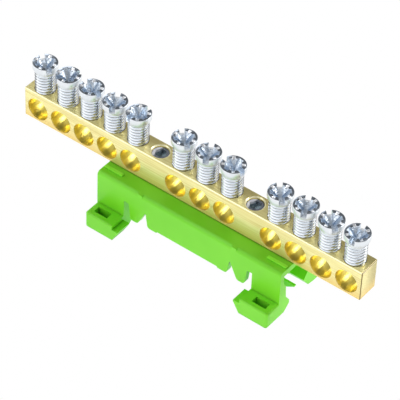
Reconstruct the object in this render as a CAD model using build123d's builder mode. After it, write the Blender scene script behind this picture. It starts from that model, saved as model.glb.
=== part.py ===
from build123d import *
import os

# Earth terminal bar: a drilled and tapped brass bar with twelve clamping screws, held by two
# fixing screws on a moulded carrier that clips across a 35 mm mounting rail.
# Millimetres. X runs along the bar, Z is up, and the wires enter along Y.
# The origin is on the ground under the bar's centre, where the carrier's feet stand.

# Brass bar
pitch = 6.6
end_margin = 3.8
group_gap = 12.5
group_counts = (5, 3, 4)
bar_depth = 5.6
bar_height = 8.0
bar_edge = 0.15
bar_end_edge = 0.2
wire_diameter = 5.7
wire_height = 3.4

# Terminal screws, metric five millimetre with a slotted cross head
thread_diameter = 4.84
thread_clearance = 0.08
head_diameter = 5.8
head_height = 2.35
head_side = 1.3
shank_length = 6.35
slot_width = 1.3
slot_depth = 1.25
cross_span = 4.6
cross_width = 1.25
cross_depth = 1.9

# How far each head's top stands above the bar, and which way its slot is turned in degrees
screw_rise = (7.5, 7.5, 7.6, 7.35, 7.7, 7.75, 7.45, 7.6, 7.25, 7.5, 7.3, 7.55)
slot_turn = (-33, 56, -18, -65, 74, -39, -66, -10, -48, -65, -41, -81)

# Fixing screws, sunk in the bar between its groups of holes
fixing_head_diameter = 3.8
fixing_head_height = 2.4
fixing_sink = 0.5
fixing_shank_diameter = 3.0
fixing_reach = 5.6
fixing_clearance = 0.1
fixing_bore_gap = 0.1
fixing_rim = 0.3
socket_flats = 2.5
socket_depth = 1.6

# Carrier
rail_gap = 35.2
carrier_offset = 0.35
leg_width = 7.5
leg_top = 1.2
leg_top_drop = 3.45
leg_middle = 2.2
leg_middle_drop = 5.5
leg_base = 2.4
back_leg_inset = 0.95
carrier_depth = 14.2
plate_thickness = 1.5
plate_round = 0.9
wall_thickness = 1.4
wall_middle_drop = 8.2
wall_side_drop = 8.55
wall_middle_half = 8.2
wall_step = 0.25
wall_half = 10.9
wall_corner_round = 0.8
slit_top_drop = 4.75
slit_top = 11.6
slit_width = 0.2
tongue_drop = 8.9
tongue_tip_inner = 13.7
tongue_tip_outer = 15.7
tongue_root_outer = 16.25
tongue_round = 0.9
notch_drop = 4.4
notch_inner_round = 0.4
notch_outer_round = 0.9

# Feet and the lips that hook under the rail
foot_drop = 9.0
foot_height = 4.45
foot_reach = 4.25
foot_round = 0.4
foot_side_round = 0.6
lip_reach = 1.65
lip_drop = 1.15
lip_nose = 0.3
lip_lead = 2.75
heel_reach = 1.4
heel_rise = 0.5
heel_drop = 1.45
heel_nose = 0.95
sole_length = 1.9
sole_rise = 0.35
eye_length = 3.65
eye_width = 1.8
eye_depth = 3.4
eye_middle = 4.2
eye_setback = 2.05

# Web, release tab and ribs between the legs
web_thickness = 1.5
web_drop = 11.3
tab_width = 0.6
tab_reach = 5.1
tab_drop = 9.25
tab_nose = 0.35
tab_lead = 2.9
rib_thickness = 1.2
rib_drop = 4.2
boss_diameter = 6.0
boss_length = 5.0
bead_length = 5.0
bead_width = 0.75
bead_height = 0.45
bead_setback = 2.35
bead_middle = 22.3

# Places worked out from the sizes above
steps = sum(group_counts) - len(group_counts)
bar_length = 2 * end_margin + pitch * steps + group_gap * (len(group_counts) - 1)
carrier_height = foot_drop + foot_height
bar_top = carrier_height + bar_height
wire_radius = wire_diameter / 2
wire_z = carrier_height + wire_height
tapped_radius = thread_diameter / 2 + thread_clearance
terminal_x = []
fixing_x = []
next_x = -bar_length / 2 + end_margin
for count in group_counts:
    for step in range(count):
        terminal_x.append(next_x + step * pitch)
    fixing_x.append(terminal_x[-1] + group_gap / 2)
    next_x = terminal_x[-1] + group_gap
fixing_x.pop()
carrier_x = sum(fixing_x) / len(fixing_x) + carrier_offset
front = -carrier_depth / 2
leg_inner = rail_gap / 2
leg_outer = leg_inner + leg_width
plate_under = carrier_height - plate_thickness
leg_back = front + leg_base
heel_back = leg_back + heel_reach
bead_y = front + bead_setback
foot_front = front - foot_reach
foot_top = foot_height
lip_top = foot_top - lip_drop
lip_tip = leg_inner - lip_reach
heel_middle = leg_inner + (web_thickness + leg_width) / 2
eye_x = leg_inner + eye_middle
web_half = -front - leg_top
web_bottom = carrier_height - web_drop
tab_top = carrier_height - tab_drop
tab_tip = leg_inner + web_thickness + tab_reach

os.makedirs("parts", exist_ok=True)

# Bar: wire holes run through it from front to back, and a tapped hole meets each from above
with BuildPart() as terminal_bar:
    with Locations((0, 0, carrier_height)):
        Box(bar_length, bar_depth, bar_height, align=(Align.CENTER, Align.CENTER, Align.MIN))
    chamfer(terminal_bar.edges().filter_by(Axis.X), bar_edge)
    chamfer(terminal_bar.faces().filter_by(Axis.X).edges(), bar_end_edge)
    with BuildSketch(Plane.XZ.offset(bar_depth / 2)):
        with Locations([(x, wire_z) for x in terminal_x]):
            Circle(wire_radius)
    extrude(amount=-bar_depth, mode=Mode.SUBTRACT)
    with Locations([(x, 0, bar_top) for x in fixing_x]):
        CounterBoreHole(
            radius=(fixing_shank_diameter + fixing_clearance) / 2,
            counter_bore_radius=fixing_head_diameter / 2 + fixing_bore_gap,
            counter_bore_depth=fixing_sink + fixing_head_height,
        )
    fixing_rims = terminal_bar.faces().sort_by(Axis.Z)[-1].inner_wires().edges()
    chamfer(fixing_rims, fixing_rim)
    with BuildSketch(Plane.XY.offset(bar_top)):
        with Locations([(x, 0) for x in terminal_x]):
            Circle(tapped_radius)
    extrude(amount=wire_z - bar_top, mode=Mode.SUBTRACT)
terminal_bar.part.label = "terminal_bar"
export_step(terminal_bar.part, "parts/terminal_bar.step")

# Terminal screws: heads that narrow to the shank, with a full slot and a deeper arm across it
for number, (x, rise, turn) in enumerate(zip(terminal_x, screw_rise, slot_turn), start=1):
    head_top = bar_top + rise
    with BuildPart() as terminal_screw:
        with BuildSketch(Plane(origin=(x, 0, head_top), x_dir=(1, 0, 0), z_dir=(0, -1, 0))):
            with BuildLine():
                Polyline(
                    (0, 0),
                    (head_diameter / 2, 0),
                    (head_diameter / 2, -head_side),
                    (thread_diameter / 2, -head_height),
                    (thread_diameter / 2, -head_height - shank_length),
                    (0, -head_height - shank_length),
                    (0, 0),
                )
            make_face()
        revolve(axis=Axis((x, 0, 0), (0, 0, 1)))
        with BuildSketch(Plane.XY.offset(head_top)):
            with Locations((x, 0)):
                Rectangle(head_diameter + slot_width, slot_width, rotation=turn)
        extrude(amount=-slot_depth, mode=Mode.SUBTRACT)
        with BuildSketch(Plane.XY.offset(head_top)):
            with Locations((x, 0)):
                Rectangle(cross_width, cross_span, rotation=turn)
        extrude(amount=-cross_depth, mode=Mode.SUBTRACT)
    terminal_screw.part.label = f"terminal_screw_{number:02d}"
    export_step(terminal_screw.part, f"parts/terminal_screw_{number:02d}.step")

# Fixing screws: socket heads sunk in the bar, with shanks that reach down into the carrier's bosses
fixing_top = bar_top - fixing_sink
fixing_tip = carrier_height - fixing_reach
for number, x in enumerate(fixing_x, start=1):
    with BuildPart() as fixing_screw:
        with BuildSketch(Plane.XY.offset(fixing_top)):
            with Locations((x, 0)):
                Circle(fixing_head_diameter / 2)
        extrude(amount=-fixing_head_height)
        with BuildSketch(Plane.XY.offset(fixing_top - fixing_head_height)):
            with Locations((x, 0)):
                Circle(fixing_shank_diameter / 2)
        extrude(amount=-(fixing_top - fixing_head_height - fixing_tip))
        with BuildSketch(Plane.XY.offset(fixing_top)):
            with Locations((x, 0)):
                RegularPolygon(socket_flats / 2, 6, major_radius=False)
        extrude(amount=-socket_depth, mode=Mode.SUBTRACT)
    fixing_screw.part.label = f"fixing_screw_{number}"
    export_step(fixing_screw.part, f"parts/fixing_screw_{number}.step")

# Carrier: one moulding. Its front half is made first and then mirrored to the back.
front_plane = Plane(origin=(carrier_x, front, carrier_height), x_dir=(1, 0, 0), z_dir=(0, -1, 0))

with BuildPart() as carrier:
    with Locations((carrier_x, 0, carrier_height)):
        Box(2 * leg_outer, carrier_depth / 2, plate_thickness, align=(Align.CENTER, Align.MAX, Align.MAX))

    # Front wall with its spring tongues, which press on the rail from above
    with BuildSketch(front_plane) as wall:
        with BuildLine():
            Polyline(
                (0, -wall_middle_drop),
                (wall_middle_half, -wall_middle_drop),
                (wall_middle_half + wall_step, -wall_side_drop),
                (wall_half, -wall_side_drop),
                (slit_top - slit_width / 2, -slit_top_drop),
                (slit_top + slit_width / 2, -slit_top_drop),
                (tongue_tip_inner, -tongue_drop),
                (tongue_tip_outer, -tongue_drop),
                (tongue_root_outer, -notch_drop),
                (leg_inner, -notch_drop),
                (leg_inner, 0),
                (0, 0),
                (0, -wall_middle_drop),
            )
        make_face()
        tips = wall.vertices().group_by(Axis.Y)[0]
        fillet(tips, tongue_round)
        wall_low = wall.vertices().filter_by_position(Axis.Y, -wall_side_drop, -wall_side_drop)
        fillet(wall_low.sort_by(Axis.X)[-1], wall_corner_round)
        notch = wall.vertices().filter_by_position(Axis.Y, -notch_drop, -notch_drop).sort_by(Axis.X)
        fillet(notch[0], notch_inner_round)
        fillet(notch[-1], notch_outer_round)
        mirror(about=Plane.YZ)
    extrude(amount=-wall_thickness)

    # Legs that drop to the feet and thicken on the way, each with a pointed heel on its inner face
    for side in (-1, 1):
        leg_x = carrier_x + side * (leg_inner + leg_outer) / 2
        with BuildSketch(Plane.YZ.offset(leg_x)):
            with BuildLine():
                Polyline(
                    (front, carrier_height),
                    (front, foot_top),
                    (foot_front, foot_top),
                    (foot_front, 0),
                    (front, 0),
                    (front + sole_length, sole_rise),
                    (heel_back, foot_top - heel_drop - heel_nose),
                    (heel_back, foot_top - heel_drop),
                    (leg_back, foot_top + heel_rise),
                    (front + leg_middle, carrier_height - leg_middle_drop),
                    (front + leg_top, carrier_height - leg_top_drop),
                    (front + leg_top, carrier_height),
                    (front, carrier_height),
                )
            make_face()
        extrude(amount=leg_width / 2, both=True)
    front_corners = carrier.edges().filter_by(Axis.X).filter_by_position(Axis.Y, foot_front, foot_front)
    fillet(front_corners, foot_round)
    fillet(carrier.edges().filter_by(Axis.X).group_by(Axis.Z)[-1].sort_by(Axis.Y)[0], plate_round)
    side_edges = carrier.edges().filter_by(Axis.Y).group_by(Axis.Z)[0].sort_by(Axis.X)
    fillet([side_edges[0], side_edges[-1]], foot_side_round)

    # Lips that reach in from the feet and catch the rail's edge from below
    for side in (-1, 1):
        with BuildSketch(Plane.XZ.offset(-foot_front)):
            with BuildLine():
                Polyline(
                    (carrier_x + side * leg_inner, lip_top),
                    (carrier_x + side * lip_tip, lip_top),
                    (carrier_x + side * lip_tip, lip_top - lip_nose),
                    (carrier_x + side * leg_inner, lip_top - lip_nose - lip_lead),
                    (carrier_x + side * leg_inner, lip_top),
                )
            make_face()
        extrude(amount=-foot_reach)

    # Rectangular eyes sunk in the feet
    with BuildSketch(Plane.XY.offset(foot_top)):
        with Locations([(carrier_x + side * eye_x, front - eye_setback) for side in (-1, 1)]):
            Rectangle(eye_length, eye_width)
    extrude(amount=-eye_depth, mode=Mode.SUBTRACT)

    # End webs between the front and back legs, each with a thin tab at its foot
    for side in (-1, 1):
        with Locations((carrier_x + side * (leg_inner + web_thickness / 2), 0, carrier_height)):
            Box(web_thickness, web_half, web_drop, align=(Align.CENTER, Align.MAX, Align.MAX))
        with BuildSketch(Plane.XZ):
            with BuildLine():
                Polyline(
                    (carrier_x + side * leg_inner, tab_top),
                    (carrier_x + side * tab_tip, tab_top),
                    (carrier_x + side * tab_tip, tab_top - tab_nose),
                    (carrier_x + side * (tab_tip - tab_lead), web_bottom),
                    (carrier_x + side * leg_inner, web_bottom),
                    (carrier_x + side * leg_inner, tab_top),
                )
            make_face()
        extrude(amount=tab_width / 2)

    # Ribs across the hollow, and beads on top that flank the bar
    for x in fixing_x:
        with Locations((x, 0, carrier_height)):
            Box(rib_thickness, -front, rib_drop, align=(Align.CENTER, Align.MAX, Align.MAX))
    with Locations([(carrier_x + side * bead_middle, bead_y, carrier_height) for side in (-1, 1)]):
        Box(bead_length, bead_width, bead_height, align=(Align.CENTER, Align.CENTER, Align.MIN))

    mirror(about=Plane.XZ)

    # The back legs are a little narrower than the front ones, and their heels end in an edge
    for side in (-1, 1):
        with Locations((carrier_x + side * (leg_outer - back_leg_inset / 2), -foot_front, plate_under)):
            Box(
                back_leg_inset,
                heel_back - foot_front,
                plate_under,
                align=(Align.CENTER, Align.MAX, Align.MAX),
                mode=Mode.SUBTRACT,
            )
        with BuildSketch(Plane.YZ.offset(carrier_x + side * heel_middle)):
            with BuildLine():
                Polyline(
                    (-heel_back, foot_top - heel_drop),
                    (-front - sole_length, sole_rise),
                    (-heel_back, sole_rise),
                    (-heel_back, foot_top - heel_drop),
                )
            make_face()
        extrude(amount=(leg_width - web_thickness) / 2, both=True, mode=Mode.SUBTRACT)

    # Bosses under the plate take the fixing screws
    with BuildSketch(Plane.XY.offset(plate_under - boss_length)):
        with Locations([(x, 0) for x in fixing_x]):
            Circle(boss_diameter / 2)
    extrude(amount=boss_length)
    with BuildSketch(Plane.XY.offset(plate_under - boss_length)):
        with Locations([(x, 0) for x in fixing_x]):
            Circle((fixing_shank_diameter + fixing_clearance) / 2)
    extrude(amount=boss_length + plate_thickness, mode=Mode.SUBTRACT)
carrier.part.label = "carrier"
export_step(carrier.part, "parts/carrier.step")
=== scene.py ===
import math

import bmesh
import bpy
from mathutils import Matrix, Vector


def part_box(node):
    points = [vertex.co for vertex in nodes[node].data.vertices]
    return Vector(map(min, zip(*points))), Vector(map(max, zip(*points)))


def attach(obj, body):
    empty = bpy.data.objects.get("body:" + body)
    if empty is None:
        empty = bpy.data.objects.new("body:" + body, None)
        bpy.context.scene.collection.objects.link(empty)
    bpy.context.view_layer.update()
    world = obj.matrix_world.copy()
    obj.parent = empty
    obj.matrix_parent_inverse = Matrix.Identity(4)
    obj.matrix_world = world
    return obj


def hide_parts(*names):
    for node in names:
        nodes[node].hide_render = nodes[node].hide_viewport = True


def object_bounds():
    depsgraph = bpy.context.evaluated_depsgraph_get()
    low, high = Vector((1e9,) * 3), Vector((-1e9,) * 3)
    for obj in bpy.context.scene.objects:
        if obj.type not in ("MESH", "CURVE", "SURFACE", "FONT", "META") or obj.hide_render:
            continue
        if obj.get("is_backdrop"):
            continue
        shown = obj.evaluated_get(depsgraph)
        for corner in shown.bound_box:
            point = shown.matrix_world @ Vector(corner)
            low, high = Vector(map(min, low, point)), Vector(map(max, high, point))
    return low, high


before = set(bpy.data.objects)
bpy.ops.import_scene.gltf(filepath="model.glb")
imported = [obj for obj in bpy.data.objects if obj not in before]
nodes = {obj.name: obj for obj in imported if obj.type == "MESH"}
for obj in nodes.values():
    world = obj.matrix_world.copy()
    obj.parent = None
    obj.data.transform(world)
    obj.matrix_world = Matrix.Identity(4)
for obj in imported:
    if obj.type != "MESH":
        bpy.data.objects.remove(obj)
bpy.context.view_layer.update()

# Earth terminal bar on its rail carrier. Metres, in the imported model's frame: X runs along the bar,
# Z is up, and the camera looks from the front right.
MM = 0.001


# Terminal screws: metric five millimetre, with a slotted cross head
HEAD_RADIUS = 2.9 * MM
HEAD_HEIGHT = 2.35 * MM
HEAD_SIDE = 1.3 * MM
HEAD_ROUND = 0.1 * MM
SLOT_WIDTH = 1.3 * MM
SLOT_DEPTH = 1.35 * MM
SLOT_SPAN = 2.4 * HEAD_RADIUS
CROSS_SPAN = 4.7 * MM
CROSS_WIDTH = 1.25 * MM
CROSS_DEPTH = 2.0 * MM
CROSS_LOW_SPAN = 1.2 * MM
CROSS_LOW_WIDTH = 0.75 * MM
TICK_SPAN = 5.3 * MM
TICK_WIDTH = 0.7 * MM
TICK_DEPTH = 0.5 * MM
TICK_LOW_SPAN = 3.8 * MM
TICK_LOW_WIDTH = 0.02 * MM
PIT_RADIUS = 1.95 * MM
PIT_LOW_RADIUS = 0.25 * MM
PIT_DEPTH = 2.0 * MM
THREAD_PITCH = 0.8 * MM
THREAD_CREST = 2.42 * MM
THREAD_ROOT = 1.98 * MM
THREAD_LENGTH = 6.35 * MM
THREAD_WELD = THREAD_PITCH / 1000
NECK_HEIGHT = THREAD_PITCH / 4
ROUND_STEPS = 72
THREAD_STEPS = ROUND_STEPS // 2
ROUND_ARC_STEPS = 3

# One turn of the thread, from root to root: share of the pitch, and radius
THREAD_PROFILE = (
    (0.0, THREAD_ROOT),
    (0.12, THREAD_ROOT),
    (0.42, THREAD_CREST),
    (0.64, THREAD_CREST),
    (0.92, THREAD_ROOT),
    (1.0, THREAD_ROOT),
)

# Angle from X to each screw's slot in degrees, from the left screw on
SLOT_TURN = (-33, 56, -18, -65, 74, -39, -66, -10, -48, -65, -41, -81)

# Rounded edges: width, the angle between faces in degrees above which an edge is rounded, and segments
BAR_EDGE = (0.12 * MM, 40, 2)
CARRIER_EDGE = (0.2 * MM, 30, 3)
FIXING_EDGE = (0.3 * MM, 30, 3)
SCREW_SHARP_ANGLE = 35
WELD_GAP = 0.001 * MM


# Meshes
def new_mesh(name, bm):
    """A new mesh from a bmesh, which is freed."""
    made = bpy.data.meshes.new(name)
    bm.to_mesh(made)
    bm.free()
    return made


def mesh_object(name, bm):
    """A new object from a bmesh, linked to the scene."""
    made = bpy.data.objects.new(name, new_mesh(name, bm))
    bpy.context.scene.collection.objects.link(made)
    return made


def ring_point(radius, angle, height):
    """A place at an angle round the Z axis."""
    return (radius * math.cos(angle), radius * math.sin(angle), height)


def revolve(bm, profile):
    """Turns (radius, height) points, whose ends lie on the axis, into a closed solid."""
    turn = [2 * math.pi * k / ROUND_STEPS for k in range(ROUND_STEPS)]
    rings = []
    for radius, height in profile:
        angles = turn if radius else (0,)
        rings.append([bm.verts.new(ring_point(radius, angle, height)) for angle in angles])
    for low, high in zip(rings, rings[1:]):
        for k in range(ROUND_STEPS):
            corners = [low[k % len(low)], low[(k + 1) % len(low)]]
            corners += [high[(k + 1) % len(high)], high[k % len(high)]]
            bm.faces.new(list(dict.fromkeys(corners)))
    bmesh.ops.recalc_face_normals(bm, faces=bm.faces)


def arc(centre, radius, start, end, steps):
    """Points on an arc of a (radius, height) profile, with angles in degrees."""
    turn = [math.radians(start + (end - start) * k / steps) for k in range(steps + 1)]
    return [(centre[0] + radius * math.cos(a), centre[1] + radius * math.sin(a)) for a in turn]


def wedge(span, width, low_span, low_width, depth, turn):
    """A bar across the axis, from above the head's top down to a smaller foot, for cutting a recess."""
    bm = bmesh.new()
    spin = Matrix.Rotation(turn, 3, "Z")
    rise = HEAD_ROUND / depth
    rings = []
    for share in (-rise, 1):
        x = (span + (low_span - span) * share) / 2
        y = (width + (low_width - width) * share) / 2
        corners = ((-x, -y), (x, -y), (x, y), (-x, y))
        rings.append([bm.verts.new(spin @ Vector((*corner, -depth * share))) for corner in corners])
    high, low = rings
    bm.faces.new(high)
    bm.faces.new(low)
    for k in range(4):
        bm.faces.new([high[k], high[(k + 1) % 4], low[(k + 1) % 4], low[k]])
    bmesh.ops.recalc_face_normals(bm, faces=bm.faces)
    return mesh_object("wedge", bm)


def cut(target, cutters):
    """Subtracts the cutters from the target's mesh for good."""
    for cutter in cutters:
        modifier = target.modifiers.new("cut", "BOOLEAN")
        modifier.object = cutter
        modifier.operation = "DIFFERENCE"
        modifier.solver = "EXACT"
    graph = bpy.context.evaluated_depsgraph_get()
    target_mesh = bpy.data.meshes.new_from_object(target.evaluated_get(graph))
    target.modifiers.clear()
    target.data = target_mesh
    for cutter in cutters:
        bpy.data.objects.remove(cutter)


def head_cutters():
    """The slot, the tapered cross, the four ticks and the dish, as solids that are cut out of a head."""
    cutters = [wedge(SLOT_SPAN, SLOT_WIDTH, SLOT_SPAN, SLOT_WIDTH, SLOT_DEPTH, 0)]
    for turn in (0, math.pi / 2):
        cutters.append(wedge(CROSS_SPAN, CROSS_WIDTH, CROSS_LOW_SPAN, CROSS_LOW_WIDTH, CROSS_DEPTH, turn))
    for turn in (math.pi / 4, -math.pi / 4):
        cutters.append(wedge(TICK_SPAN, TICK_WIDTH, TICK_LOW_SPAN, TICK_LOW_WIDTH, TICK_DEPTH, turn))
    profile = [(0, HEAD_ROUND), (PIT_RADIUS, HEAD_ROUND), (PIT_RADIUS, 0)]
    profile += [(PIT_LOW_RADIUS, -PIT_DEPTH), (0, -PIT_DEPTH)]
    pit = bmesh.new()
    revolve(pit, profile)
    cutters.append(mesh_object("pit", pit))
    return cutters


def screw_core():
    """A terminal screw's head with its recess, and the plain core of its shank, as a mesh."""
    bottom = -HEAD_HEIGHT
    profile = [(0, 0)]
    profile += arc((HEAD_RADIUS - HEAD_ROUND, -HEAD_ROUND), HEAD_ROUND, 90, 0, ROUND_ARC_STEPS)
    profile += [(HEAD_RADIUS, -HEAD_SIDE), (THREAD_CREST, bottom), (THREAD_ROOT, bottom - NECK_HEIGHT)]
    profile += [(THREAD_ROOT, bottom - THREAD_LENGTH), (0, bottom - THREAD_LENGTH)]
    bm = bmesh.new()
    revolve(bm, profile)
    core = mesh_object("screw_core", bm)
    cut(core, head_cutters())
    made = core.data
    bpy.data.objects.remove(core)
    return made


def thread_mesh(top, bottom):
    """A helical metric thread between two heights, as one skin of crests, flanks and roots."""
    bm = bmesh.new()
    turns = math.ceil((top - bottom) / THREAD_PITCH) + 1
    columns = []
    for k in range(turns * THREAD_STEPS + 1):
        angle = 2 * math.pi * k / THREAD_STEPS
        start = k / THREAD_STEPS - 1
        places = [
            ring_point(radius, angle, bottom + THREAD_PITCH * (start + share))
            for share, radius in THREAD_PROFILE
        ]
        columns.append([bm.verts.new(place) for place in places])
    for left, right in zip(columns, columns[1:]):
        for corners in zip(left, right, right[1:], left[1:]):
            bm.faces.new(corners)
    bmesh.ops.remove_doubles(bm, verts=bm.verts, dist=THREAD_WELD)
    for height, outward in ((top, 1), (bottom, -1)):
        parts = [*bm.verts, *bm.edges, *bm.faces]
        plane = {"plane_co": (0, 0, height), "plane_no": (0, 0, outward)}
        bmesh.ops.bisect_plane(bm, geom=parts, clear_outer=True, **plane)
    bmesh.ops.recalc_face_normals(bm, faces=bm.faces)
    return new_mesh("thread", bm)


def screw_mesh():
    """One terminal screw with its head's top at height 0 and its slot along X."""
    bottom = -HEAD_HEIGHT
    bm = bmesh.new()
    for part in (screw_core(), thread_mesh(bottom - NECK_HEIGHT / 2, bottom - THREAD_LENGTH)):
        bm.from_mesh(part)
        bpy.data.meshes.remove(part)
    return new_mesh("terminal_screw", bm)


# Shader nodes
CREVICE_SAMPLES = 8


def material(name):
    """A new node material, its tree and its Principled shader."""
    made = bpy.data.materials.new(name)
    made.use_nodes = True
    return made, made.node_tree, made.node_tree.nodes["Principled BSDF"]


def node(tree, kind, **settings):
    """A new node with its sockets and properties set."""
    made = tree.nodes.new(kind)
    for key, value in settings.items():
        if key in made.inputs:
            made.inputs[key].default_value = value
        else:
            setattr(made, key, value)
    return made


def noise(tree, scale, stretch=(1, 1, 1), detail=3.0):
    """Noise over the object's own coordinates, stretched along an axis for drawn or turned marks."""
    place = node(tree, "ShaderNodeTexCoord")
    stretched = node(tree, "ShaderNodeMapping", Scale=stretch)
    made = node(tree, "ShaderNodeTexNoise", Scale=scale, Detail=detail)
    tree.links.new(place.outputs["Object"], stretched.inputs["Vector"])
    tree.links.new(stretched.outputs["Vector"], made.inputs["Vector"])
    return made.outputs["Fac"]


def ramp(tree, source, stops):
    """A colour ramp from (place, colour) stops."""
    made = node(tree, "ShaderNodeValToRGB")
    for element, (place, colour) in zip(made.color_ramp.elements, stops, strict=True):
        element.position = place
        element.color = (*colour, 1)
    tree.links.new(source, made.inputs["Fac"])
    return made.outputs["Color"]


def map_range(tree, source, **settings):
    """A map range node on a value, and its result."""
    made = node(tree, "ShaderNodeMapRange", **settings)
    tree.links.new(source, made.inputs["Value"])
    return made.outputs["Result"]


def spread(tree, source, low, high):
    """Maps a 0 to 1 value to a range."""
    return map_range(tree, source, **{"To Min": low, "To Max": high})


def step(tree, source, start, end, low=0.0, high=1.0):
    """A smooth step of a value, from low at start to high at end."""
    reach = {"From Min": start, "From Max": end, "To Min": low, "To Max": high}
    return map_range(tree, source, interpolation_type="SMOOTHSTEP", **reach)


def math_node(tree, kind, *values):
    """A math node on values or sockets, and its result."""
    made = node(tree, "ShaderNodeMath", operation=kind)
    for socket, value in zip(made.inputs, values):
        if isinstance(value, (int, float)):
            socket.default_value = value
        else:
            tree.links.new(value, socket)
    return made.outputs[0]


def product(tree, first, *others):
    """Values or sockets multiplied."""
    for value in others:
        first = math_node(tree, "MULTIPLY", first, value)
    return first


def opposite(tree, mask):
    """1 where a mask is 0, and 0 where it is 1."""
    return math_node(tree, "SUBTRACT", 1, mask)


def band(tree, source, start, full, last, end):
    """1 where a value lies between full and last, and 0 before start and after end."""
    return product(tree, step(tree, source, start, full), step(tree, source, last, end, 1.0, 0.0))


def mix(tree, share, low, high):
    """Blends two colours, given as sockets or values, by a share."""
    made = node(tree, "ShaderNodeMix", data_type="RGBA")
    for socket, value in ((made.inputs["Factor"], share), (made.inputs[6], low), (made.inputs[7], high)):
        if isinstance(value, tuple):
            socket.default_value = (*value, 1)
        else:
            tree.links.new(value, socket)
    return made.outputs[2]


def paint(tree, base, *coats):
    """Lays (share, colour) coats over a base colour, one after the other."""
    for share, colour in coats:
        base = mix(tree, share, base, colour)
    return base


def bump(tree, source, shader, distance=1.0, strength=1.0):
    """Fine relief from a value, which is in metres where the distance is 1."""
    made = node(tree, "ShaderNodeBump", Strength=strength, Distance=distance)
    tree.links.new(source, made.inputs["Height"])
    tree.links.new(made.outputs["Normal"], shader.inputs["Normal"])
    return made


def crevice(tree, reach, start, end):
    """1 in the open and 0 deep in a crevice no wider than the reach."""
    shade = node(tree, "ShaderNodeAmbientOcclusion", Distance=reach, samples=CREVICE_SAMPLES)
    return step(tree, shade.outputs["AO"], start, end)


def coordinate_parts(tree, kind):
    """The X, Y and Z of one kind of texture coordinate."""
    place = node(tree, "ShaderNodeTexCoord")
    parts = node(tree, "ShaderNodeSeparateXYZ")
    tree.links.new(place.outputs[kind], parts.inputs[0])
    return parts.outputs


def shares(tree):
    """A place's shares of the piece's box along X, Y and Z."""
    return coordinate_parts(tree, "Generated")


def from_middle(tree, share):
    """How far a share of the piece's box lies from the box's middle."""
    return math_node(tree, "ABSOLUTE", math_node(tree, "SUBTRACT", share, 0.5))


# Brass. Colours are linear, scales are marks per metre, and places are shares of the bar's box
STREAK_SCALE = 3500
STREAK_STRETCH = (0.02, 1, 1)
STREAK_DETAIL = 2
STREAK_RELIEF = 0.03 * MM
STREAK_STOPS = ((0.32, (0.80, 0.66, 0.24)), (0.55, (1.0, 0.91, 0.42)))
RING_PITCH = 0.1 * MM
RING_STRETCH = (0, 1, 0)
RING_DETAIL = 0
RING_RELIEF = 0.015 * MM
BRASS_CLOUD_SCALE = 90
BORE_STOPS = ((0.3, (0.93, 0.765, 0.15)), (0.7, (0.98, 0.82, 0.21)))
BORE_MARGINS = {"X": 0.003, "Y": 0.04, "Z": 0.045}
# Painted shade: the bar's faces darker and duller towards the back
BACK_PAINTED_SHADE_COLOUR = (0.50, 0.42, 0.155)
BACK_PAINTED_SHADE_REACH = (0.15, 0.85)
BACK_PAINTED_SHADE_SHARE = 0.8
# Painted reflection: a warmer yellow towards the bottom of the bar
FOOT_PAINTED_REFLECTION_COLOUR = (0.92, 0.66, 0.20)
FOOT_PAINTED_REFLECTION_REACH = (0.02, 0.5)
FOOT_PAINTED_REFLECTION_SHARE = 0.8
# Painted highlight: a pale cream band along the top's edges
RIM_PAINTED_HIGHLIGHT_COLOUR = (1.0, 0.93, 0.58)
RIM_PAINTED_HIGHLIGHT_BAND = (0.955, 0.965, 0.993, 0.998)
SAWN_COLOUR = (0.16, 0.10, 0.03)
SAWN_BAND = (0.4975, 0.499, 0.4997, 0.49995)
# Painted shade: dark brass in crevices and where the bar sits on the carrier
CREVICE_PAINTED_SHADE_COLOUR = (0.25, 0.18, 0.06)
CREVICE_PAINTED_SHADE_REACH = 1.0 * MM
CREVICE_PAINTED_SHADE_RANGE = (0.2, 0.52)
BRASS_ROUGHNESS = (0.2, 0.3)
BORE_EXTRA_ROUGHNESS = 0.05
BAR_METALLIC = 0.42
BORE_METALLIC = 0.85


def bore_mask(tree):
    """1 inside the bar, where the walls of its bores lie, and 0 on its outer faces."""
    parts = shares(tree)
    inner = [
        math_node(tree, "LESS_THAN", from_middle(tree, parts[axis]), 0.5 - margin)
        for axis, margin in BORE_MARGINS.items()
    ]
    return product(tree, *inner)


def brass_colour(tree, streaks, cloud, inside):
    """Streaked faces with painted shade behind, a painted reflection below, a painted highlight along the
    top's edges, dark sawn ends, deep bores, and painted shade in crevices.
    """
    parts = shares(tree)
    # Painted shade towards the back
    back = step(tree, parts["Y"], *BACK_PAINTED_SHADE_REACH, 0.0, BACK_PAINTED_SHADE_SHARE)
    # Painted reflection towards the bottom
    foot = step(tree, parts["Z"], *FOOT_PAINTED_REFLECTION_REACH, FOOT_PAINTED_REFLECTION_SHARE, 0.0)
    # Painted highlight along the top's edges
    rim_highlight = band(tree, parts["Z"], *RIM_PAINTED_HIGHLIGHT_BAND)
    sawn_edge = band(tree, from_middle(tree, parts["X"]), *SAWN_BAND)
    coats = ((back, BACK_PAINTED_SHADE_COLOUR), (foot, FOOT_PAINTED_REFLECTION_COLOUR), (rim_highlight, RIM_PAINTED_HIGHLIGHT_COLOUR), (sawn_edge, SAWN_COLOUR))
    outer = paint(tree, ramp(tree, streaks, STREAK_STOPS), *coats)
    unshaded_brass = mix(tree, inside, outer, ramp(tree, cloud, BORE_STOPS))
    # Painted shade in crevices
    return mix(tree, crevice(tree, CREVICE_PAINTED_SHADE_REACH, *CREVICE_PAINTED_SHADE_RANGE), CREVICE_PAINTED_SHADE_COLOUR, unshaded_brass)


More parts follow.
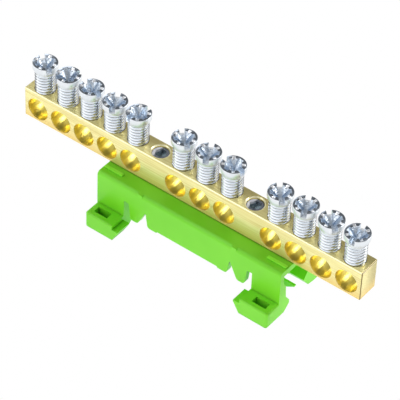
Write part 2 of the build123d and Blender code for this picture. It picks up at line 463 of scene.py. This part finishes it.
def brass_material():
    """Drawn brass with fine streaks along the bar, and smooth deep yellow bores with faint rings."""
    made, tree, shader = material("brass")
    streaks = noise(tree, STREAK_SCALE, STREAK_STRETCH, STREAK_DETAIL)
    rings = noise(tree, 1 / RING_PITCH, RING_STRETCH, RING_DETAIL)
    cloud = noise(tree, BRASS_CLOUD_SCALE)
    inside = bore_mask(tree)
    tree.links.new(brass_colour(tree, streaks, cloud, inside), shader.inputs["Base Color"])
    rough = spread(tree, cloud, *BRASS_ROUGHNESS)
    rougher = product(tree, inside, BORE_EXTRA_ROUGHNESS)
    tree.links.new(math_node(tree, "ADD", rough, rougher), shader.inputs["Roughness"])
    tree.links.new(spread(tree, inside, BAR_METALLIC, BORE_METALLIC), shader.inputs["Metallic"])
    drawn = product(tree, streaks, STREAK_RELIEF, opposite(tree, inside))
    turned = product(tree, rings, RING_RELIEF, inside)
    bump(tree, math_node(tree, "ADD", drawn, turned), shader)
    return made


# Zinc plate. Places are measured from the head's top and from the screw's axis
PLATE_SCALE = 400
PLATED_STOPS = ((0.3, (0.84, 0.88, 0.92)), (0.7, (0.92, 0.95, 0.98)))
# Painted shade: dark grey on the head's top flats
TOP_PAINTED_SHADE_COLOUR = (0.39, 0.44, 0.51)
TOP_MARGIN = HEAD_ROUND / 10
UPPER_HEIGHT = HEAD_SIDE / 2
RECESS_COLOUR = (0.64, 0.72, 0.82)
RECESS_MARGIN = HEAD_ROUND / 5
RECESS_RADIUS = HEAD_RADIUS - HEAD_ROUND
CONE_WALL = 0.5 * MM
# Painted highlight: near white along the ticks in the recess
TICK_PAINTED_HIGHLIGHT_COLOUR = (0.95, 0.97, 1.0)
TICK_REACH = TICK_WIDTH * 0.75
TICK_START = PIT_RADIUS - 0.1 * MM
# Painted shade: dark deep in the thread's grooves
GROOVE_PAINTED_SHADE_COLOUR = (0.07, 0.09, 0.14)
GROOVE_PAINTED_SHADE_REACH = (THREAD_ROOT + 0.06 * MM, THREAD_ROOT + 0.14 * MM)
ZINC_ROUGHNESS = (0.11, 0.21)
EXTRA_ROUGHNESS = {"recess": 0.15, "cone": 0.35, "side": 0.2}
SIDE_START = HEAD_RADIUS - HEAD_ROUND / 2
SOFT_EDGE = 0.1 * MM
DENT_SCALE = 2500
DENT_DETAIL = 1
DENT_RELIEF = 0.11 * MM


def screw_zones(tree):
    """Masks of the parts of a terminal screw's head, and of its thread's grooves."""
    parts = coordinate_parts(tree, "Object")
    height = parts["Z"]
    squares = [math_node(tree, "MULTIPLY", parts[axis], parts[axis]) for axis in "XY"]
    radius = math_node(tree, "SQRT", math_node(tree, "ADD", *squares))
    in_head = math_node(tree, "GREATER_THAN", height, -HEAD_HEIGHT)
    below_side = math_node(tree, "LESS_THAN", height, -HEAD_SIDE)
    below_top = math_node(tree, "LESS_THAN", height, -RECESS_MARGIN)
    recess_radius = math_node(tree, "SUBTRACT", RECESS_RADIUS, product(tree, below_side, CONE_WALL))
    inner = math_node(tree, "LESS_THAN", radius, recess_radius)
    recess = product(tree, below_top, in_head, inner)
    sides = [math_node(tree, "ABSOLUTE", parts[axis]) for axis in "XY"]
    off_diagonal = math_node(tree, "ABSOLUTE", math_node(tree, "SUBTRACT", *sides))
    by_diagonal = math_node(tree, "LESS_THAN", off_diagonal, TICK_REACH)
    past_pit = math_node(tree, "GREATER_THAN", radius, TICK_START)
    return {
        "upper": math_node(tree, "GREATER_THAN", height, -UPPER_HEIGHT),
        "top": math_node(tree, "GREATER_THAN", height, -TOP_MARGIN),
        "recess": recess,
        "tick_highlight": product(tree, by_diagonal, past_pit, recess),
        "side": math_node(tree, "GREATER_THAN", radius, SIDE_START),
        "cone": product(tree, in_head, below_side, opposite(tree, recess)),
        "groove_shade": product(tree, step(tree, radius, *GROOVE_PAINTED_SHADE_REACH, 1.0, 0.0), opposite(tree, in_head)),
    }


def rounded_normal(tree, mask):
    """The surface's normal, rounded over the edges where a mask is 1."""
    rounded = node(tree, "ShaderNodeBevel", Radius=SOFT_EDGE)
    plain = node(tree, "ShaderNodeNewGeometry")
    chosen = node(tree, "ShaderNodeMix", data_type="VECTOR")
    tree.links.new(mask, chosen.inputs["Factor"])
    tree.links.new(plain.outputs["Normal"], chosen.inputs[4])
    tree.links.new(rounded.outputs["Normal"], chosen.inputs[5])
    return chosen.outputs[1]


def zinc_material():
    """Bright zinc plate: bluish in the head's recess, with painted shade on the head's top flats and deep
    in the thread, and painted highlights along the ticks.
    """
    made, tree, shader = material("zinc")
    cloud = noise(tree, PLATE_SCALE)
    dents = noise(tree, DENT_SCALE, detail=DENT_DETAIL)
    zones = screw_zones(tree)
    # Painted shade on the top flats, the recess's bluish tone, painted highlights on the ticks, and
    # painted shade in the grooves
    coats = (
        (zones["top"], TOP_PAINTED_SHADE_COLOUR),
        (zones["recess"], RECESS_COLOUR),
        (zones["tick_highlight"], TICK_PAINTED_HIGHLIGHT_COLOUR),
        (zones["groove_shade"], GROOVE_PAINTED_SHADE_COLOUR),
    )
    plated = ramp(tree, cloud, PLATED_STOPS)
    tree.links.new(paint(tree, plated, *coats), shader.inputs["Base Color"])
    rough = spread(tree, cloud, *ZINC_ROUGHNESS)
    for zone, extra in EXTRA_ROUGHNESS.items():
        rough = math_node(tree, "ADD", rough, product(tree, zones[zone], extra))
    tree.links.new(rough, shader.inputs["Roughness"])
    stamped = bump(tree, product(tree, dents, zones["recess"], DENT_RELIEF), shader)
    tree.links.new(rounded_normal(tree, zones["upper"]), stamped.inputs["Normal"])
    shader.inputs["Metallic"].default_value = 1
    return made


# Fixing screws. Places are shares of the screw's box
FIXING_STOPS = ((0.3, (0.80, 0.81, 0.90)), (0.7, (0.92, 0.93, 0.98)))
# Painted shade: darker zinc over all but the head's left edge, which stays pale as if lit
FIXING_PAINTED_SHADE_COLOUR = (0.34, 0.37, 0.42)
FIXING_PAINTED_SHADE_REACH = (0.22, 0.4)
# Painted shade: dark in the head's socket
SOCKET_PAINTED_SHADE_COLOUR = (0.30, 0.35, 0.37)
SOCKET_PAINTED_SHADE_REACH = (0.92, 0.97)
FIXING_ROUGHNESS = (0.15, 0.3)
FIXING_METALLIC = (0.35, 1.0)


def fixing_material():
    """Zinc plate, pale at the head's left edge, with painted shade over the rest and in the socket."""
    made, tree, shader = material("fixing_zinc")
    cloud = noise(tree, PLATE_SCALE)
    parts = shares(tree)
    # Painted shade right of the pale left edge
    darker = step(tree, parts["X"], *FIXING_PAINTED_SHADE_REACH)
    shaded_socket = step(tree, parts["Z"], *SOCKET_PAINTED_SHADE_REACH, 1.0, 0.0)
    coats = ((darker, FIXING_PAINTED_SHADE_COLOUR), (shaded_socket, SOCKET_PAINTED_SHADE_COLOUR))
    tree.links.new(paint(tree, ramp(tree, cloud, FIXING_STOPS), *coats), shader.inputs["Base Color"])
    tree.links.new(spread(tree, cloud, *FIXING_ROUGHNESS), shader.inputs["Roughness"])
    metallic = math_node(tree, "MAXIMUM", spread(tree, darker, *FIXING_METALLIC), shaded_socket)
    tree.links.new(metallic, shader.inputs["Metallic"])
    return made


# Green plastic. Places are shares of the carrier's box
GREEN_CLOUD_SCALE = 60
GREEN_STOPS = ((0.3, (0.19, 0.71, 0.019)), (0.7, (0.22, 0.765, 0.028)))
GREEN_SHADE = (0.02, 0.09, 0.005)
GREEN_SHADE_REACH = 1.6 * MM
GREEN_SHADE_RANGE = (0.2, 0.66)
# Painted light: paler green on the beads along the plate's top
BEAD_PAINTED_LIGHT_COLOUR = (0.30, 0.93, 0.05)
BEAD_PAINTED_LIGHT_REACH = (0.97, 0.985)
GRAIN_SCALE = 2500
GRAIN_RELIEF = 0.01 * MM
GRAIN_STRENGTH = 0.2
PLASTIC_ROUGHNESS = (0.3, 0.4)
PLASTIC_SPECULAR = 0.4
SUBSURFACE_WEIGHT = 0.15
SUBSURFACE_RADIUS = (0.4, 1.0, 0.2)
SUBSURFACE_SCALE = 0.8 * MM


def plastic_material():
    """Lime green moulded plastic with a fine grain, painted shade in its crevices, and painted light on
    the beads on the plate's top.
    """
    made, tree, shader = material("green_plastic")
    grain = noise(tree, GRAIN_SCALE)
    green = ramp(tree, noise(tree, GREEN_CLOUD_SCALE), GREEN_STOPS)
    green = mix(tree, crevice(tree, GREEN_SHADE_REACH, *GREEN_SHADE_RANGE), GREEN_SHADE, green)
    bead_painted_light = step(tree, shares(tree)["Z"], *BEAD_PAINTED_LIGHT_REACH)
    tree.links.new(mix(tree, bead_painted_light, green, BEAD_PAINTED_LIGHT_COLOUR), shader.inputs["Base Color"])
    tree.links.new(spread(tree, grain, *PLASTIC_ROUGHNESS), shader.inputs["Roughness"])
    bump(tree, grain, shader, GRAIN_RELIEF, GRAIN_STRENGTH)
    shader.inputs["Specular IOR Level"].default_value = PLASTIC_SPECULAR
    shader.inputs["Subsurface Weight"].default_value = SUBSURFACE_WEIGHT
    shader.inputs["Subsurface Radius"].default_value = SUBSURFACE_RADIUS
    shader.inputs["Subsurface Scale"].default_value = SUBSURFACE_SCALE
    return made


# Pieces
def dress(piece, look):
    """Gives a piece its material."""
    piece.data.materials.clear()
    piece.data.materials.append(look)


def soften(piece, width, angle, segments):
    """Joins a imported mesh's split corners and rounds its sharp edges."""
    weld = piece.modifiers.new("weld", "WELD")
    weld.merge_threshold = WELD_GAP
    rounding = piece.modifiers.new("round", "BEVEL")
    rounding.width = width
    rounding.segments = segments
    rounding.limit_method = "ANGLE"
    rounding.angle_limit = math.radians(angle)
    rounding.harden_normals = True
    rounding.use_clamp_overlap = True


def smooth(piece, angle):
    """Smooth shading that keeps edges sharper than an angle."""
    for face in piece.data.polygons:
        face.use_smooth = True
    piece.data.set_sharp_from_angle(angle=math.radians(angle))


dress(nodes["terminal_bar"], brass_material())
soften(nodes["terminal_bar"], *BAR_EDGE)
dress(nodes["carrier"], plastic_material())
soften(nodes["carrier"], *CARRIER_EDGE)
fixing_zinc = fixing_material()
for name in ("fixing_screw_1", "fixing_screw_2"):
    dress(nodes[name], fixing_zinc)
    soften(nodes[name], *FIXING_EDGE)

zinc = zinc_material()
pattern = screw_mesh()
for number, turn in enumerate(SLOT_TURN, start=1):
    name = f"terminal_screw_{number:02d}"
    low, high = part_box(name)
    screw = bpy.data.objects.new(f"threaded_screw_{number:02d}", pattern.copy())
    bpy.context.scene.collection.objects.link(screw)
    screw.location = ((low.x + high.x) / 2, (low.y + high.y) / 2, high.z)
    screw.rotation_euler.z = math.radians(turn)
    smooth(screw, SCREW_SHARP_ANGLE)
    dress(screw, zinc)
    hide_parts(name)
    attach(screw, f"screw_{number:02d}")

# Floor and light. Softboxes: direction, half angle of the even part and of the whole in degrees, strength
FLOOR_HALF_SIZE = 3
FLOOR_GAP = 0.2 * MM
FLOOR_GLOW = 0.6
FLOOR_GREY = (0.8, 0.8, 0.8, 1)
WHITE = (1, 1, 1, 1)
OVERHEAD = 0.22
SOFTBOXES = (
    ((-0.457, -0.296, 0.839), 24, 34, 0.95),
    ((-0.43, -0.66, 0.56), 9, 16, 2.5),
    ((0.60, 0.586, 0.54), 12, 18, 6.0),
    ((0.62, 0.586, 0.52), 12, 28, 0.5),
    ((0.0, 0.586, 0.81), 8, 20, 0.4),
    ((-0.69, 0.586, 0.42), 9, 15, 2.4),
)
# Dark cards that keep light off: direction, the two half angles, and the share of light that is left
FLAGS = (((0.28, -0.04, 0.96), 10, 18, 0.05),)
# Even light from the front and the horizon: the Y or Z of a direction where each fades, and strengths
FRONT_FADE = (-0.45, 0.15)
FRONT_STRENGTH = 0.6
FRONT_TOP_FADE = (0.5, 0.75)
HORIZON_FADE = (0.1, 0.3)
HORIZON_STRENGTH = 0.55


def floor():
    """A wide white floor under the feet, which also lights the part from below."""
    bm = bmesh.new()
    bmesh.ops.create_grid(bm, x_segments=1, y_segments=1, size=FLOOR_HALF_SIZE)
    made = mesh_object("floor", bm)
    made.location.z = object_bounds()[0].z - FLOOR_GAP
    look, tree, shader = material("white_floor")
    tree.nodes.remove(shader)
    white = node(tree, "ShaderNodeEmission", Color=WHITE, Strength=1.0)
    glow = node(tree, "ShaderNodeEmission", Color=WHITE, Strength=FLOOR_GLOW)
    matt = node(tree, "ShaderNodeBsdfDiffuse", Color=FLOOR_GREY)
    both = node(tree, "ShaderNodeAddShader")
    path = node(tree, "ShaderNodeLightPath")
    choice = node(tree, "ShaderNodeMixShader")
    link = tree.links.new
    link(glow.outputs[0], both.inputs[0])
    link(matt.outputs[0], both.inputs[1])
    seen = path.outputs["Is Camera Ray"]
    for ray in ("Is Glossy Ray", "Is Transmission Ray"):
        seen = math_node(tree, "MAXIMUM", seen, path.outputs[ray])
    link(seen, choice.inputs[0])
    link(both.outputs[0], choice.inputs[1])
    link(white.outputs[0], choice.inputs[2])
    link(choice.outputs[0], tree.nodes["Material Output"].inputs["Surface"])
    made.data.materials.append(look)
    made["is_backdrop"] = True


def patch(tree, sky, direction, inner, outer, around, within):
    """A round patch of sky about a direction, with a soft edge between two half angles."""
    facing = node(tree, "ShaderNodeVectorMath", operation="DOT_PRODUCT")
    tree.links.new(sky, facing.inputs[0])
    facing.inputs[1].default_value = Vector(direction).normalized()
    edge = [math.cos(math.radians(angle)) for angle in (outer, inner)]
    return step(tree, facing.outputs["Value"], *edge, around, within)


def studio():
    """Soft light: bright at the front, near the horizon and in the softboxes, dimmer overhead."""
    world = bpy.data.worlds.new("studio")
    world.use_nodes = True
    bpy.context.scene.world = world
    tree = world.node_tree
    sky = node(tree, "ShaderNodeTexCoord").outputs["Generated"]
    parts = coordinate_parts(tree, "Generated")
    front = step(tree, parts["Y"], *FRONT_FADE, FRONT_STRENGTH, 0.0)
    low_front = product(tree, front, step(tree, parts["Z"], *FRONT_TOP_FADE, 1.0, 0.0))
    horizon = step(tree, parts["Z"], *HORIZON_FADE, HORIZON_STRENGTH, 0.0)
    level = math_node(tree, "MAXIMUM", low_front, horizon)
    for direction, inner, outer, strength in SOFTBOXES:
        softbox = patch(tree, sky, direction, inner, outer, 0.0, strength)
        level = math_node(tree, "MAXIMUM", level, softbox)
    level = math_node(tree, "ADD", level, OVERHEAD)
    for direction, inner, outer, left in FLAGS:
        level = product(tree, level, patch(tree, sky, direction, inner, outer, 1.0, left))
    background = tree.nodes["Background"]
    background.inputs["Color"].default_value = WHITE
    tree.links.new(level, background.inputs["Strength"])


floor()
studio()

# Camera, solved from the bar's corners and holes in the photograph, in the unit that the solution used
CAMERA_UNIT = 1.0154 * MM
PHOTO_PIXELS = 400
FOCAL_PIXELS = 2603
SENSOR_WIDTH = 36
AZIMUTH = math.radians(36.01)
ELEVATION = math.radians(43.60)
ROLL = math.radians(2.49)
DISTANCE = 558 * CAMERA_UNIT
MOVE_RIGHT = 1.19 * CAMERA_UNIT
MOVE_UP = -0.61 * CAMERA_UNIT
CLIP_NEAR = 0.05
CLIP_FAR = 20


def camera():
    """The photograph's camera, aimed at the middle of the bar's underside and then moved slightly."""
    target = Vector((0, 0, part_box("terminal_bar")[0].z))
    run = math.cos(ELEVATION)
    back = Vector((math.sin(AZIMUTH) * run, -math.cos(AZIMUTH) * run, math.sin(ELEVATION)))
    right = (-back).cross(Vector((0, 0, 1))).normalized()
    up = right.cross(-back)
    rolled_right = right * math.cos(ROLL) + up * math.sin(ROLL)
    rolled_up = up * math.cos(ROLL) - right * math.sin(ROLL)
    lens = bpy.data.cameras.new("photo_view")
    lens.sensor_width = SENSOR_WIDTH
    lens.lens = FOCAL_PIXELS / PHOTO_PIXELS * SENSOR_WIDTH
    lens.clip_start = CLIP_NEAR
    lens.clip_end = CLIP_FAR
    made = bpy.data.objects.new("photo_view", lens)
    bpy.context.scene.collection.objects.link(made)
    turn = Matrix((rolled_right, rolled_up, back)).transposed().to_4x4()
    place = target + back * DISTANCE + rolled_right * MOVE_RIGHT + rolled_up * MOVE_UP
    made.matrix_world = Matrix.Translation(place) @ turn
    bpy.context.scene.camera = made


camera()
bpy.context.scene.view_settings.view_transform = "Standard"
